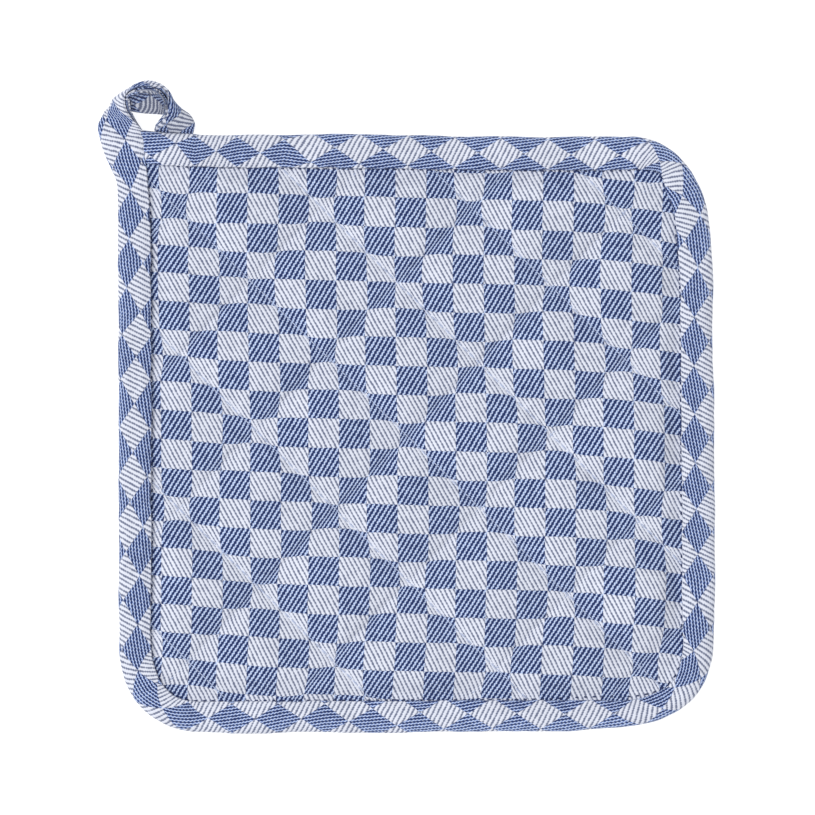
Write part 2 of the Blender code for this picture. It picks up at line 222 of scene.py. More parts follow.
# Each stitch along the binding draws the lip down. The lip and the fold waver, this far in.
STITCH_TUCK, LIP_HALF, FOLD_HALF = 0.13, 1.8, 2.2
# Hand-sewn unevenness, in waves: how high, how long, and the seed of its random draws. For the
# puckers the height is an angle of drift along the seam, and a share of their own height.
Wave = namedtuple("Wave", "high long seed")
PUFF_WAVES = (Wave(0.28, 34.0, 3), Wave(0.10, 12.0, 4))
FACE_WAVES = (Wave(0.16, 15.0, 5), Wave(0.07, 5.5, 6))
FOLD_WAVES = (Wave(0.16, 21.0, 7), Wave(0.07, 7.0, 8))
LIP_WAVES = (Wave(0.18, 13.0, 9),)
PUCKER_DRIFT = (Wave(PUCKER_WANDER, 11.0, 21), Wave(PUCKER_WANDER, 11.0, 22))
PUCKER_SWELL = (Wave(0.45, 17.0, 31), Wave(0.45, 17.0, 32))
PULLED_WAVE = Wave(PULLED_VARIES, 14.0, 41)
STITCH_WAVE = Wave(0.12, 9.0, 51)
# A wave sums this many ripples, each within these shares of its length, to about this height.
RIPPLES, SHORTEST, LONGEST, RIPPLES_HIGH = 7, 0.7, 1.5, 3.2
# The share of the unevenness left on a seam, and on the loop's face and edges, beyond this Y.
UNEVEN_AT_SEAM, UNEVEN_LOOP_FACE, UNEVEN_LOOP_EDGES = 0.3, 0.4, 0.5
LOOP_FROM, LOOP_RUN = 98.0, 6.0
# How steeply the face's unevenness fades down the strip's edges.
SIDE_FADE = 1.6

# How fine the meshes are, in steps or in millimetres.
PAD_CELLS, BOTTOM_EVERY = 240, 2
STRIP_PITCH = 1.25
CORNER_STEPS = 36
LOOP_STEPS, LEANING_STEPS = 14, 6


def smooth_step(share):
    share = np.clip(share, 0.0, 1.0)
    return share * share * (3.0 - 2.0 * share)


def between(first, second, share):
    """The value at a share of the way from the first to the second."""
    return first + (second - first) * share


def unit(ways):
    """The same ways, each one long."""
    return ways / np.linalg.norm(ways, axis=-1, keepdims=True)


def run_along(paths):
    """The length run along each path, up to each of its points."""
    steps = np.linalg.norm(np.diff(paths, axis=-2), axis=-1)
    return np.concatenate((np.zeros_like(steps[..., :1]), np.cumsum(steps, axis=-1)), -1)


def bell(gap, half):
    """1 at no gap, falling off smoothly on both sides."""
    return np.exp(-(gap / half) ** 2)


def table_value(table, at):
    """Read a table of (place, value) pairs, straight between its places."""
    keys, values = zip(*table)
    return np.interp(at, keys, values)


def tail_lift(x, y):
    """How far the pad and its binding ride up over the loop's tail."""
    (left, right), (low, high) = TAIL_BOX
    aside = np.maximum(np.maximum(left - x, x - right), 0.0)
    along = np.maximum(np.maximum(low - y, y - high), 0.0)
    return TAIL_LIFT * (1.0 - smooth_step(aside / LIFT_RUN)) * (1.0 - smooth_step(along / LIFT_RUN))


def soft_wave(x, y, wave):
    """A smooth uneven field over the plane, about as high as the wave, the same on every run."""
    rng = np.random.default_rng(wave.seed)
    total = np.zeros_like(x)
    for _ in range(RIPPLES):
        way, phase = rng.uniform(0.0, 2 * math.pi, 2)
        count = 2 * math.pi / (wave.long * rng.uniform(SHORTEST, LONGEST))
        total += np.sin(count * (x * math.cos(way) + y * math.sin(way)) + phase)
    return wave.high * (total / RIPPLES_HIGH)


# ---- outline -------------------------------------------------

def corner_arc(before, corner, after):
    """Stations round one corner: points and inward normals of an elliptical quarter."""
    sharp = np.array((corner.x, corner.y))
    back = unit(sharp - (before.x, before.y)) * corner.reach_before
    on = unit(np.array((after.x, after.y)) - sharp) * corner.reach_after
    turn = np.linspace(0.0, math.pi / 2, CORNER_STEPS + 1)[:, None]
    points = sharp - back + back * np.sin(turn) + on * (1.0 - np.cos(turn))
    along = unit(back * np.cos(turn) + on * np.sin(turn))
    return points, np.stack((along[:, 1], -along[:, 0]), 1)


def arcs():
    """The four rounded corners, clockwise from the top right."""
    return [corner_arc(CORNERS[index - 1], corner, CORNERS[(index + 1) % len(CORNERS)])
            for index, corner in enumerate(CORNERS)]


def closed_edge(inset):
    """The whole outline, drawn in by an inset."""
    return np.concatenate([points + inward * inset for points, inward in arcs()])


def distance_inside(x, y, edge):
    """Shortest distance from each point to the closed edge."""
    best = np.full(x.shape, np.inf)
    for first, second in zip(edge, np.roll(edge, -1, axis=0)):
        side = second - first
        share = ((x - first[0]) * side[0] + (y - first[1]) * side[1]) / side.dot(side)
        share = np.clip(share, 0.0, 1.0)
        best = np.minimum(best, np.hypot(x - first[0] - side[0] * share,
                                         y - first[1] - side[1] * share))
    return best


def point_within(x, y, edge):
    """Whether each point lies inside the closed edge."""
    within = np.zeros(x.shape, bool)
    for first, second in zip(edge, np.roll(edge, -1, axis=0)):
        crosses = (first[1] > y) != (second[1] > y)
        with np.errstate(divide="ignore", invalid="ignore"):
            at = first[0] + (y - first[1]) / (second[1] - first[1]) * (second[0] - first[0])
        within ^= crosses & (x < at)
    return within


# ---- quilting seams ------------------------------------------

def seam_gap(x, y, slope, seams):
    """How far a point lies above the nearest seam of one family, and how far along that seam."""
    length = math.hypot(slope, 1.0)
    gaps = ((y - slope * x)[..., None] - np.array(seams)) / length
    gap = np.take_along_axis(gaps, np.abs(gaps).argmin(-1)[..., None], -1)[..., 0]
    return gap, (x + slope * y) / length


def seam_gather(x, y):
    """How far the seams have drawn the cloth along: it lies closer where it dives to a seam."""
    shift_x, shift_y = np.zeros_like(x), np.zeros_like(y)
    for slope, seams in (FALLING, RISING):
        gap, _ = seam_gap(x, y, slope, seams)
        length = math.hypot(slope, 1.0)
        half_apart = (seams[-1] - seams[0]) / (len(seams) - 1) / length / 2
        fading = np.clip(1.0 - np.abs(gap) / half_apart, 0.0, 1.0)
        shift = SEAM_GATHER * np.tanh(gap / GATHER_HALF) * fading
        shift_x -= shift * slope / length
        shift_y += shift / length
    return shift_x, shift_y


def seam_share(height, seams):
    """Where a crossing height lies between its two seams, 0 and 1 being the seams."""
    index = np.clip(np.searchsorted(seams, height) - 1, 0, len(seams) - 2)
    low, high = np.take(seams, index), np.take(seams, index + 1)
    return np.clip((height - low) / (high - low), 0.0, 1.0)


def puff(x, y):
    """0 on a quilting seam, 1 at the middle of a puff."""
    total = np.ones_like(x)
    for slope, seams in (FALLING, RISING):
        share = seam_share(y - slope * x, seams)
        total *= 1.0 - np.abs(2.0 * share - 1.0) ** PUFF_FULLNESS
    return total


def seam_relief(x, y):
    """The narrow bite of the quilting thread, and the puckers that run out from each stitch."""
    relief = np.zeros_like(x)
    for seam_family, drift, swell in zip((FALLING, RISING), PUCKER_DRIFT, PUCKER_SWELL):
        gap, along = seam_gap(x, y, *seam_family)
        gap = np.abs(gap)
        relief -= SEAM_BITE * bell(gap, SEAM_BITE_HALF)
        pucker = np.cos(2 * math.pi * along / PUCKER_PITCH + soft_wave(x, y, drift))
        strength = 1.0 - swell.high + soft_wave(x, y, swell)
        from_peak = gap / PUCKER_PEAK
        relief += PUCKER_HIGH * pucker * strength * from_peak * np.exp(1.0 - from_peak) \
            * np.exp(-gap / PUCKER_REACH)
    return relief


# ---- the flat cloth's coordinates ----------------------------

def pad_weave(x, y):
    """Flat cloth coordinates, in millimetres, of points on the pad's face."""
    shift_x, shift_y = seam_gather(x, y)
    for pull_x, pull_y, reach, pull_right, pull_up in PULLS:
        near = np.exp(-((x - pull_x) ** 2 + (y - pull_y) ** 2) / reach ** 2)
        shift_x, shift_y = shift_x - pull_right * near, shift_y - pull_up * near
    (across_x, across_y), (down_x, down_y) = LATTICE_ACROSS, LATTICE_DOWN
    area = across_x * down_y - across_y * down_x
    right, up = np.zeros_like(x), np.zeros_like(y)
    for _ in range(LATTICE_ROUNDS):
        from_x = x + shift_x - right - LATTICE_CORNER[0]
        from_y = y + shift_y - up - LATTICE_CORNER[1]
        column = (from_x * down_y - from_y * down_x) / area
        row = (from_y * across_x - from_x * across_y) / area
        up = table_value(COLUMN_LIFT, column) + table_value(ROW_LIFT, row)
        right = table_value(ROW_SHIFT, row)
    return np.stack((column * BLOCK_WIDE, -row * BLOCK_HIGH), -1)


def strip_weave(along, across):
    """Flat cloth coordinates of the bias strip from its diamond counts along and across."""
    return np.stack(((along - across) / 2 * BLOCK_WIDE, (along + across) / 2 * BLOCK_HIGH), -1)


# ---- placing a piece -----------------------------------------

PAD_CENTRE = np.array(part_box("pad")[0]) - np.array(PAD_LOW_CORNER) * MM


def placed(points):
    """Points in millimetres from the pad's centre, as metres in the part's frame."""
    return np.asarray(points, float).reshape(-1, 3) * MM + PAD_CENTRE


def in_scene(name, data):
    """A new object in the scene."""
    thing = bpy.data.objects.new(name, data)
    bpy.context.scene.collection.objects.link(thing)
    return thing


def cloth_object(name, points, faces, weave=None):
    """A smooth mesh of points in millimetres, with flat cloth coordinates at its faces' corners."""
    mesh = bpy.data.meshes.new(name)
    mesh.from_pydata(placed(points).tolist(), [], faces)
    if weave is not None:
        flat = np.asarray(weave, np.float32).ravel()
        mesh.uv_layers.new(name="weave").data.foreach_set("uv", flat)
    mesh.shade_smooth()
    return in_scene(name, mesh)


def keep_state(piece, name, values):
    """Keep one state of the cloth at each point for its material to read."""
    attribute = piece.data.attributes.new(name, "FLOAT", "POINT")
    attribute.data.foreach_set("value", np.asarray(values, np.float32).ravel())


# ---- the quilted pad -----------------------------------------

def pad_top(x, y, inside):
    """Height of the pad's face: puffs, seams, and the ditch that the binding's stitches pull."""
    fill = smooth_step((inside - RIM_FLAT_TO) / EDGE_RUN)
    uneven = sum(soft_wave(x, y, wave) for wave in PUFF_WAVES)
    puffed = puff(x, y)
    level = RIM_TOP + fill * (SEAM_TOP - RIM_TOP + (PUFF_TOP - SEAM_TOP) * puffed)
    level += fill * (seam_relief(x, y) + uneven * between(UNEVEN_AT_SEAM, 1.0, puffed))
    left = smooth_step((LEFT_DITCH_FROM - x) / LEFT_DITCH_RUN)
    ditch = bell(inside - RIM_FLAT_TO - DITCH_FROM_LIP, DITCH_HALF)
    ditch *= between(DITCH_DEEP, LEFT_DITCH_DEEP, left)
    return level - ditch + tail_lift(x, y)


def pad_bottom(x, y, inside):
    """Height of the pad's back, with its puffs pressed flat on the table."""
    fill = smooth_step((inside - RIM_FLAT_TO) / EDGE_RUN)
    level = RIM_BOTTOM - fill * (RIM_BOTTOM - SEAM_BOTTOM + PUFF_BOTTOM_DROP * puff(x, y))
    level += fill * BACK_RELIEF * seam_relief(x, y)
    return np.maximum(level, 0.0) + tail_lift(x, y)


def pad_plan():
    """A square grid drawn in to the pad's rounded outline."""
    rim = closed_edge(RIM_INSET)
    turn = np.arctan2(rim[:, 1], rim[:, 0])
    order = np.argsort(turn)
    turn, reach = turn[order], np.hypot(rim[:, 0], rim[:, 1])[order]
    turn = np.concatenate((turn[-1:] - 2 * math.pi, turn, turn[:1] + 2 * math.pi))
    reach = np.concatenate((reach[-1:], reach, reach[:1]))
    # Between stations the rim is straight: a straight chord's reach, not an arc's.
    chord_x, chord_y = reach * np.cos(turn), reach * np.sin(turn)
    steps = np.linspace(-1.0, 1.0, PAD_CELLS + 1)
    across, up = np.meshgrid(steps, steps)
    here = np.arctan2(up, across)
    index = np.clip(np.searchsorted(turn, here) - 1, 0, len(turn) - 2)
    ax, ay, bx, by = chord_x[index], chord_y[index], chord_x[index + 1], chord_y[index + 1]
    way_x, way_y = np.cos(here), np.sin(here)
    reach_here = (ax * by - ay * bx) / (way_x * (by - ay) - way_y * (bx - ax))
    size = np.maximum(np.abs(across), np.abs(up))
    return reach_here * size * way_x, reach_here * size * way_y


def round_rim(index):
    """The outermost points of a square grid, in order round it."""
    return np.concatenate((index[0, :-1], index[:-1, -1], index[-1, :0:-1], index[:0:-1, 0]))


def make_pad():
    """The pad's face, and its back with a coarser grid, joined round the rim."""
    x, y = pad_plan()
    inside = distance_inside(x, y, closed_edge(0.0))
    top = np.stack((x, y, pad_top(x, y, inside)), -1)
    few = slice(None, None, BOTTOM_EVERY)
    x, y, inside = x[few, few], y[few, few], inside[few, few]
    bottom = np.stack((x, y, pad_bottom(x, y, inside)), -1)
    upper = np.arange(top.shape[0] ** 2).reshape(top.shape[:2])
    lower = np.arange(bottom.shape[0] ** 2).reshape(bottom.shape[:2]) + upper.size
    a, b, c, d = upper[:-1, :-1], upper[:-1, 1:], upper[1:, 1:], upper[1:, :-1]
    # Each square is cut along its lower diagonal, so that no seam's valley is bridged.
    level = top[..., 2]
    along = (level[:-1, :-1] + level[1:, 1:] < level[:-1, 1:] + level[1:, :-1])[..., None]
    first = np.where(along, np.stack((a, b, c), -1), np.stack((a, b, d), -1)).reshape(-1, 3)
    second = np.where(along, np.stack((a, c, d), -1), np.stack((b, c, d), -1)).reshape(-1, 3)
    under = np.stack((lower[1:, :-1], lower[1:, 1:], lower[:-1, 1:], lower[:-1, :-1]), -1)
    rim, edge = round_rim(upper), round_rim(lower)
    side = np.stack((rim[::2], edge, np.roll(edge, -1), np.roll(rim, -2)[::2], rim[1::2]), -1)
    points = np.concatenate((top.reshape(-1, 3), bottom.reshape(-1, 3)))
    groups = (first, second, under.reshape(-1, 4), side)
    corners = np.concatenate([group.ravel() for group in groups])
    flat = pad_weave(points[:, 0], points[:, 1])
    faces = [face for group in groups for face in group.tolist()]
    pad = cloth_object("quilted_pad", points, faces, flat[corners])
    gap, along = seam_gap(points[:, 0], points[:, 1], *FALLING)
    gap = np.abs(gap)
    drawn = np.clip(PULLED_MEAN + soft_wave(along, gap, PULLED_WAVE), 0.0, 1.0)
    keep_state(pad, "pulled", bell(gap, PULLED_HALF) * drawn)
    return pad


# ---- the bias strip's path -----------------------------------

def through(rows, steps):
    """A smooth reading of a table of rows, with steps readings from each row to the next."""
    rows = np.asarray(rows, float)
    padded = np.concatenate((rows[:1], rows, rows[-1:]))
    found = []
    for index in range(1, len(rows)):
        before, first, second, after = padded[index - 1:index + 3]
        for step in range(steps):
            t = step / steps
            found.append(first + 0.5 * t * (second - before
                         + t * (2 * before - 5 * first + 4 * second - after
                                + t * (3 * (first - second) + after - before))))
    found.append(rows[-1])
    return np.array(found)


def side_points(first, second):
    """Points between the two ends of a side, evenly spaced."""
    steps = max(2, round(float(np.linalg.norm(second - first)) / STRIP_PITCH))
    return between(first, second, np.arange(1, steps)[:, None] / steps)


def binding_rows():
    """Rows along the binding, clockwise from its start under the strip's other end.

    Each row holds the lip, the folded edge, the thickness and the share of the lift over the tail.
    """
    rows = []

    def add_row(point, inward, width, thickness=BINDING_HEIGHT):
        for x, y, reach, more in WIDTH_CHANGES:
            width = width + more * math.exp(-(math.dist(point, (x, y)) / reach) ** 2)
        lip = point + inward * width
        for x, y, reach, dent in EDGE_DENTS:
            gap = math.dist(point, (x, y)) / reach
            point = point + inward * dent * math.exp(-gap ** 2)
        rows.append((*lip, BINDING_HEIGHT / 2, *point, BINDING_HEIGHT / 2, thickness, 1.0))

    rounded = arcs()[:3]
    down, right = rounded[0][1][0], np.array((1.0, 0.0))
    start, here = np.array((START_X, START_Y)), np.array((SETTLED_X, SETTLED_Y))
    slanted = unit(np.array((START_LIP_X - START_X, -FACE_WIDTHS[0])))
    for tucked, thickness in TUCKED_START:
        add_row(start - (tucked, -TUCK_SLANT * tucked), slanted, FACE_WIDTHS[0], thickness)
    add_row(start, slanted, FACE_WIDTHS[0], START_THICKNESS)
    for point in side_points(start, here):
        add_row(point, down, FACE_WIDTHS[0])
    add_row(here, down, FACE_WIDTHS[0])
    for (points, inwards), before, after in zip(rounded, FACE_WIDTHS, FACE_WIDTHS[1:]):
        for point in side_points(here, points[0]):
            add_row(point, inwards[0], before)
        widths = between(before, after, smooth_step(np.linspace(0, 1, len(points))))
        for point, inward, width in zip(points, inwards, widths):
            add_row(point, inward, width)
        here = points[-1]
    leaning_y, edge_x, _ = LEANING_END[0]
    for point in side_points(here, np.array((edge_x, leaning_y))):
        add_row(point, right, FACE_WIDTHS[3])
    leaning = [(lip_x, y, BINDING_HEIGHT / 2, edge_x, y, BINDING_HEIGHT / 2, BINDING_HEIGHT, 1.0)
               for y, edge_x, lip_x in LEANING_END]
    return np.concatenate((np.array(rows), through(leaning, LEANING_STEPS)))


# The whole strip, row by row: its near edge, its middle, the length run so far, the face's width
# and thickness, the ways outward and upward, how free it lies of the pad, and its place among the
# loop's rows.
Strip = namedtuple("Strip", "near centres lengths width thickness outward upward free loop_row "
                            "first_loop_row")


def strip_path():
    """The strip's path, from its tucked start round the pad to the loop's hidden end."""
    binding = binding_rows()
    rows = np.concatenate((binding, through(LOOP_ROWS, LOOP_STEPS)))
    near, far, riding = rows[:, 0:3].copy(), rows[:, 3:6].copy(), rows[:, 7]
    free = np.where(np.arange(len(rows)) < len(binding), 0.0,
                    (1.0 - riding) * smooth_step((near[:, 1] - FREE_FROM) / FREE_RUN))
    for edge in (near, far):
        edge[:, 2] += riding * tail_lift(edge[:, 0], edge[:, 1])
    loop_row = (np.arange(len(rows)) - len(binding)) / LOOP_STEPS
    centres = (near + far) / 2
    near[:, 0] += table_value(LOOP_EYE, loop_row)
    far[:, 0] += table_value(LOOP_FOLD_IN, loop_row)
    outward = unit(far - near)
    upward = unit(np.cross(unit(np.gradient(centres, axis=0)), outward))
    return Strip(near, centres, run_along(centres), np.linalg.norm(far - near, axis=1),
                 rows[:, 6] + LOOP_FULL * free, outward, upward, free, loop_row, len(binding))


# ---- the folded strip's section ------------------------------

# Leg: how thick the cloth is on each side of the slot. On the loop both sides close together.
BINDING_LEG, LEG_GAP = 1.9, 0.2
CLOSING_FROM, CLOSING_RUN = 5.6, 2.0
# How far from the fold the slot ends, and how far back the two plies of the strip's hem part.
SLOT_END, PLIES_PART, PLIES_OPEN = 2.2, 0.14, 0.85
SECTION_STEPS = 3
# The control point on top of the face, from which the cloth's way across is measured.
TOP_POINT = 10


def fold_section(width, thickness, leg, splay):
    """Control points round the folded strip: how far from the fold, and how high above its middle.

    Splay opens the lips and parts the two plies that the strip's own hem makes at each of them.
    """
    half = thickness / 2
    size = thickness / BINDING_HEIGHT
    low = half - leg
    slot = SLOT_END * np.minimum(size + 0.2, 1.0)
    up, upper, lower, down = (between(side, at, splay) for side, at in zip(
        (half, low, -low, -half), np.array(LOOP_LIPS) + LOOP_HANG))
    ply = PLIES_PART + PLIES_OPEN * splay
    rolled = 1.0 - splay
    return np.stack([np.stack(pair, -1) for pair in (
        # The top lip, from the slot outwards and over its two plies.
        (width - 1.6, 0.8 * upper + 0.2 * low),
        (width - 0.30, upper),
        (width, between(upper, up, 0.24)),
        (width - ply, between(upper, up, 0.45)),
        (width - 0.06, between(upper, up, 0.62)),
        (width - 0.12 - 0.28 * rolled, between(upper, up, 0.86 - 0.12 * rolled)),
        (width - 0.80, up - 0.42 * size * rolled),
        # The face.
        (width - 2.0, 0.7 * up + 0.3 * half - 0.12 * size),
        (width * 0.76, half - 0.03 * size),
        (width * 0.69, half),
        (width * 0.60, half),
        (width * 0.45, half - 0.04 * size),
        (width * 0.30 + 0.3, half - 0.08 * size),
        # Round the fold.
        (2.0 * size + 0.1, half - 0.36 * size),
        (0.75 * size, half - 1.05 * size),
        (0.18 * size, half * 0.33),
        (0.12 * size, -half * 0.25),
        (0.9 * size, -half + 1.1 * size),
        (2.4 * size + 0.1, -half + 0.25 * size),
        # The underside.
        (width * 0.40, -half),
        (width * 0.75, -half),
        # The bottom lip and its two plies.
        (width - 0.9, down + 0.02),
        (width - 0.12, between(lower, down, 0.86)),
        (width - 0.06, between(lower, down, 0.62)),
        (width - ply, between(lower, down, 0.45)),
        (width, between(lower, down, 0.24)),
        (width - 0.3, lower),
        # The slot, in to its end and out again.
        (width * 0.7, -low),
        (slot + 1.2, -low),
        (slot, np.zeros_like(width)),
        (slot + 1.2, low),
        (width * 0.7, low),
    )], 1)


def strip_section(strip):
    """Rings round the strip: from the fold, height over the middle, and the cloth's way across.

    The way is 0 at the face's middle, grows towards the fold, and goes on beyond it.
    """
    closed_leg = strip.thickness / 2 - LEG_GAP
    closing = smooth_step((CLOSING_FROM - strip.thickness) / CLOSING_RUN)
    leg = np.minimum(between(BINDING_LEG, closed_leg, closing), closed_leg)
    section = fold_section(strip.width, strip.thickness, leg,
                           table_value(LOOP_OPEN, strip.loop_row))
    ring = through(np.concatenate((section, section[:, :1]), 1).transpose(1, 0, 2), SECTION_STEPS)
    ring = ring.transpose(1, 0, 2)
    arc = run_along(ring)
    top = TOP_POINT * SECTION_STEPS
    arc += (strip.width / 2 - ring[:, top, 0] - arc[:, top])[:, None]
    from_fold, height = ring[:, :-1, 0], ring[:, :-1, 1]
    return from_fold, height - (LOOP_HANG * strip.free)[:, None], arc


def strip_points(strip, from_fold, height):
    """Rings of points, hand-sewn: the face undulates, edges waver, stitches draw the lip down."""
    across = strip.width[:, None] - from_fold
    run = np.repeat(strip.lengths[:, None], from_fold.shape[1], 1)
    top = smooth_step(height / (strip.thickness[:, None] / 2) * SIDE_FADE)
    lip, fold = bell(across, LIP_HALF), bell(from_fold, FOLD_HALF)
    swell = sum(soft_wave(run, across, wave) for wave in FACE_WAVES)
    tuck = -STITCH_TUCK * lip * (1.0 + np.cos(2 * math.pi * run / STITCH_PITCH))
    waver = sum(soft_wave(run, 0 * run, wave) for wave in FOLD_WAVES)
    shift = fold * waver + lip * sum(soft_wave(run, 0 * run, wave) for wave in LIP_WAVES)
    held = smooth_step((LOOP_FROM - strip.near[:, 1]) / LOOP_RUN)[:, None]
    swell = swell * between(UNEVEN_LOOP_FACE, 1.0, held)
    shift = shift * between(UNEVEN_LOOP_EDGES, 1.0, held)
    points = (strip.near[:, None] + strip.outward[:, None] * (across + shift)[..., None]
              + strip.upward[:, None] * (height + top * (swell + tuck * held))[..., None])
    points[..., 2] = np.maximum(points[..., 2], 0.0)
    return points


# ---- the strip's cloth ---------------------------------------

def strip_counts(strip):
    """The diamond counts along and across at the face's middle, for every row of the strip."""
    anchors = []
    sought = strip.centres[:strip.first_loop_row + DIAMOND_LOOP_ROWS * LOOP_STEPS, :2]
    for x, y, along, across in DIAMONDS:
        gap = np.array((x, y)) - sought
        index = int(np.argmin((gap ** 2).sum(1)))
        aside = float(gap[index] @ strip.outward[index, :2])
        anchors.append((strip.lengths[index], along, across - aside / HALF_DIAMOND_WIDE))
    for row, along, across in LOOP_DIAMONDS:
        index = strip.first_loop_row + round(row * LOOP_STEPS)
        anchors.append((strip.lengths[index], along, across))
    place, along, across = np.array(sorted(anchors)).T
    counts = np.interp(strip.lengths, place, along)
    counts += np.minimum(strip.lengths - place[0], 0.0) / HALF_DIAMOND_LONG
    counts += np.maximum(strip.lengths - place[-1], 0.0) / HALF_DIAMOND_LONG
    return counts, np.interp(strip.lengths, place, across)


def by_row(strip, table):
    """What a table of the loop's rows says of every row of the strip."""
    return table_value(table, strip.loop_row)[:, None]


def strip_coordinates(strip, arc):
    """Flat cloth coordinates round every row, sheared and shifted as the loop draws the bias, and
    moved on a block inside the slot, whose blue there is painted shade.
    """
    counts, row_across = strip_counts(strip)
    width = strip.width[:, None]
    past_fold = np.maximum(arc - width / 2, 0.0)
    sheared = (arc * by_row(strip, FACE_SHEAR) + past_fold * by_row(strip, UNDER_SHEAR)
               + by_row(strip, FOLD_RUN) * bell(arc - width / 2, FOLD_RUN_HALF))
    crept = by_row(strip, UNDER_CREEP) * smooth_step(past_fold / CREEP_RUN) \
        * np.maximum(1.0 - past_fold / width, 0.0)
    weave = strip_weave(counts[:, None] + sheared / HALF_DIAMOND_LONG,
                        row_across[:, None] + arc / HALF_DIAMOND_WIDE + crept)
    # Inside the slot the check moves on a block, so its blue stands in as painted shade.
    inside_slot = arc - 1.5 * width - SLOT_PAINTED_SHADE_FROM
    weave[..., 1] += BLOCK_HIGH * smooth_step(inside_slot)
    return weave


def strip_states(strip, arc):
    """How far the cloth is pulled open, below 0 where it crowds together and is darkened with
    painted shade, and how taut it is drawn.
    """
    from_edge = (arc - strip.width[:, None] / 2)[:, :-1]
    under = smooth_step(np.maximum(from_edge, 0.0) / UNDER_RUN)
    pulled = -(by_row(strip, FACE_CROWDING_AND_PAINTED_SHADE) * (1.0 - under) + by_row(strip, UNDER_CROWDING_AND_PAINTED_SHADE) * under)
    right_or_below = np.maximum(smooth_step((strip.centres[:, 0] - TAUT_FROM) / TAUT_RUN),
                                smooth_step((-TAUT_FROM - strip.centres[:, 1]) / TAUT_RUN))
    fold_taut = between(TAUT_FOLD, TAUT_FOLD_MOST, right_or_below)
    return pulled, TAUT_STRIP + fold_taut[:, None] * bell(from_edge, TAUT_HALF)


def make_strip():
    """The binding and the hanging loop, cut apart where the binding ends."""
    strip = strip_path()
    from_fold, height, arc = strip_section(strip)
    cloth = (strip_points(strip, from_fold, height), strip_coordinates(strip, arc),
             *strip_states(strip, arc))
    split = strip.first_loop_row - 1
    return (swept_cloth("binding_strip", *(rows[:split + 1] for rows in cloth), "start"),
            swept_cloth("hanging_loop_strip", *(rows[split:] for rows in cloth), "end"))


def swept_cloth(name, points, weave, pulled, taut, closed_end):
    """A tube of cloth through rings of points, closed at its free end."""
    rows, count = points.shape[:2]
    index = np.arange(rows * count).reshape(rows, count)
    after = np.roll(index, -1, 1)
    faces = np.stack((index[:-1], index[1:], after[1:], after[:-1]), -1).reshape(-1, 4)
    flat = np.stack((weave[:-1, :-1], weave[1:, :-1], weave[1:, 1:], weave[:-1, 1:]), 2)
    at_start = closed_end == "start"
    ring = index[0, :] if at_start else index[-1, ::-1]
    edge = weave[0, :-1] if at_start else weave[-1, -2::-1]
    piece = cloth_object(name, points, faces.tolist() + [ring.tolist()],
                         np.concatenate((flat.reshape(-1, 2), edge)))
    # Below 0, pulled marks crowding, which the material also darkens with painted shade.
    keep_state(piece, "pulled", pulled)
    keep_state(piece, "taut", taut)
    return piece


# ---- thread --------------------------------------------------

# Visible length and half thickness of a stitch, how far its ends dip, and how far it slims there.
QUILT_STITCH = (2.7, 0.19)
EDGE_STITCH = (1.2, 0.26)
STITCH_DIP, STITCH_SLIM = 0.3, 0.75
THREAD_SIDES, THREAD_STEPS = 6, 5
# How high a stitch lies over the cloth. The rising seams' thread has sunk deeper into it.
FALLING_RISE, RISING_RISE, EDGE_RISE = 0.24, -0.12, 0.22
# The quilting's stitches run under the lip a little, and are laid out this far from the centre.
UNDER_LIP, SEAM_REACH, PAD_REACH = 0.8, 150.0, 99.0
# The edge's stitches lie close under the lip, and further out near the bottom right corner.
EDGE_STITCH_IN, EDGE_STITCH_OUT = 0.25, 0.95
OUT_X, OUT_REACH, OUT_BELOW = 63.0, 16.0, -60.0
# They begin and end this far from the binding's ends, and point to where their row goes next.
EDGE_STITCHES_FROM, EDGE_STITCHES_END, STEP_AHEAD = 14.0, 8.0, 0.5


def stitch_row(starts, ways, rise, size):
    """Small bowed lengths of thread, each one going down into the cloth at both of its ends."""
    length, half = size
    points, faces = [], []
    turn = np.arange(THREAD_SIDES) * 2 * math.pi / THREAD_SIDES
    for start, way in zip(starts, ways):
        aside = np.array((-way[1], way[0], 0.0))
        first = len(points)
        for share in np.linspace(-1.0, 1.0, THREAD_STEPS):
            slim = half * math.sqrt(max(1.0 - STITCH_SLIM * share ** 4, 0.0))
            middle = start + np.array((*way, 0.0)) * length / 2 * share
            middle = middle + np.array((0.0, 0.0, rise - STITCH_DIP * share ** 2))
            for angle in turn:
                points.append(middle + aside * slim * math.cos(angle)
                              + np.array((0.0, 0.0, slim * math.sin(angle))))
        for step in range(THREAD_STEPS - 1):
            here = first + step * THREAD_SIDES
            for side in range(THREAD_SIDES):
                after = (side + 1) % THREAD_SIDES
                faces.append((here + side, here + THREAD_SIDES + side,
                              here + THREAD_SIDES + after, here + after))
        faces.append(tuple(first + side for side in range(THREAD_SIDES)))
        last = first + (THREAD_STEPS - 1) * THREAD_SIDES
        faces.append(tuple(last + side for side in reversed(range(THREAD_SIDES))))
    return points, faces


def quilt_stitches(slope, seams, rise):
    """Where the stitches of one family of seams lie: centres on the cloth and their direction."""
    edge = closed_edge(0.0)
    way = np.array((1.0, slope)) / math.hypot(slope, 1.0)
    starts = []
    for seam in seams:
        foot = np.array((0.0, seam)) - way * (seam * way[1])
        along = np.arange(-SEAM_REACH, SEAM_REACH, STITCH_PITCH)
        x, y = foot[0] + way[0] * along, foot[1] + way[1] * along
        held = (np.abs(x) < PAD_REACH) & (np.abs(y) < PAD_REACH)
        x, y = x[held], y[held]
        inside = distance_inside(x, y, edge)
        held = (inside > RIM_FLAT_TO - UNDER_LIP) & point_within(x, y, edge)
        x, y, inside = x[held], y[held], inside[held]
        x = x + soft_wave(x, y, STITCH_WAVE)
        starts += list(np.stack((x, y, pad_top(x, y, inside) + rise), -1))
    return starts, [way] * len(starts)


